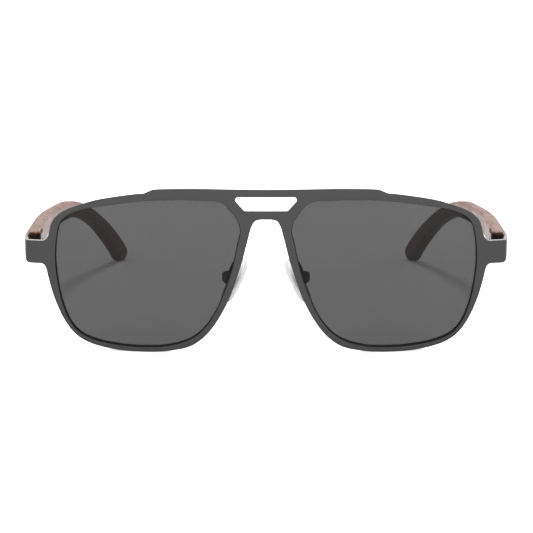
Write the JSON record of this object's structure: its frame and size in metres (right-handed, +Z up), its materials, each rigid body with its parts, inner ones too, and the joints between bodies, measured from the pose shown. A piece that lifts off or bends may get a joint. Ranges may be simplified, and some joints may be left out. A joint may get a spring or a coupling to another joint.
{
  "type": "sunglasses",
  "caption": "Double-bridge sunglasses with a folded sheet-metal front, grey lenses in split eyewires, rocking nose pads and bowed wooden temples on sprung folding hinges",
  "frame": {"origin": "centre of the bounding box's bottom face, on the table that the open glasses stand on", "axes": "+X to the wearer's left, +Y back from the front along the temples, +Z up"},
  "size_m": [0.1508, 0.1553, 0.0507],
  "materials": {
    "gunmetal": "satin grey",
    "dark_metal": "satin black",
    "steel": "fine brushed",
    "lens_grey": "polished neutral grey",
    "clear_pad": "clear soft silicone, smooth",
    "pad_core": "polished",
    "wood": "oiled, fine straight grain"
  },
  "bodies": {
    "front": {"front_plate": "gunmetal", "eyewire_left": "dark_metal", "eyewire_right": "dark_metal", "lens_left": "lens_grey", "lens_right": "lens_grey", "rim_screw_left": "gunmetal", "rim_screw_right": "gunmetal", "pad_arm_left": "dark_metal", "pad_arm_right": "dark_metal", "pad_box_left": "dark_metal", "pad_box_right": "dark_metal", "pad_screw_left": "steel", "pad_screw_right": "steel", "hinge_knuckles_left": "dark_metal", "hinge_knuckles_right": "dark_metal", "hinge_screw_left": "dark_metal", "hinge_screw_right": "dark_metal"},
    "pad_left": {"nose_pad_left": "clear_pad", "pad_core_left": "pad_core"},
    "hinge_left": {"hinge_tongue_left": "steel"},
    "arm_left": {"temple_left": "wood", "hinge_case_left": "dark_metal", "case_screws_left": "steel", "hinge_spring_left": "steel"},
    "pad_right": {"nose_pad_right": "clear_pad", "pad_core_right": "pad_core"},
    "hinge_right": {"hinge_tongue_right": "steel"},
    "arm_right": {"temple_right": "wood", "hinge_case_right": "dark_metal", "case_screws_right": "steel", "hinge_spring_right": "steel"}
  },
  "joints": [
    {"name": "temple_fold_left", "type": "hinge", "parent": "front", "child": "hinge_left", "pos_m": [0.07107, -0.05948, 0.0302], "axis": [0, 0, 1], "range_deg": [0, 84]},
    {"name": "temple_flex_left", "type": "slide", "parent": "hinge_left", "child": "arm_left", "axis": [0, 1, 0], "range_m": [0, 0.0012], "stiffness_N_per_m": 1500, "springref_m": -0.0005, "deforming": ["hinge_spring_left"]},
    {"name": "pad_rock_left", "type": "hinge", "parent": "front", "child": "pad_left", "pos_m": [0.01165, -0.07032, 0.0226], "axis": [0.4455, 0.866, 0.227], "range_deg": [-8, 8]},
    {"name": "temple_fold_right", "type": "hinge", "parent": "front", "child": "hinge_right", "pos_m": [-0.07107, -0.05948, 0.0302], "axis": [0, 0, -1], "range_deg": [0, 78]},
    {"name": "temple_flex_right", "type": "slide", "parent": "hinge_right", "child": "arm_right", "axis": [0, 1, 0], "range_m": [0, 0.0012], "stiffness_N_per_m": 1500, "springref_m": -0.0005, "deforming": ["hinge_spring_right"]},
    {"name": "pad_rock_right", "type": "hinge", "parent": "front", "child": "pad_right", "pos_m": [-0.01165, -0.07032, 0.0226], "axis": [-0.4455, 0.866, 0.227], "range_deg": [-8, 8]}
  ]
}
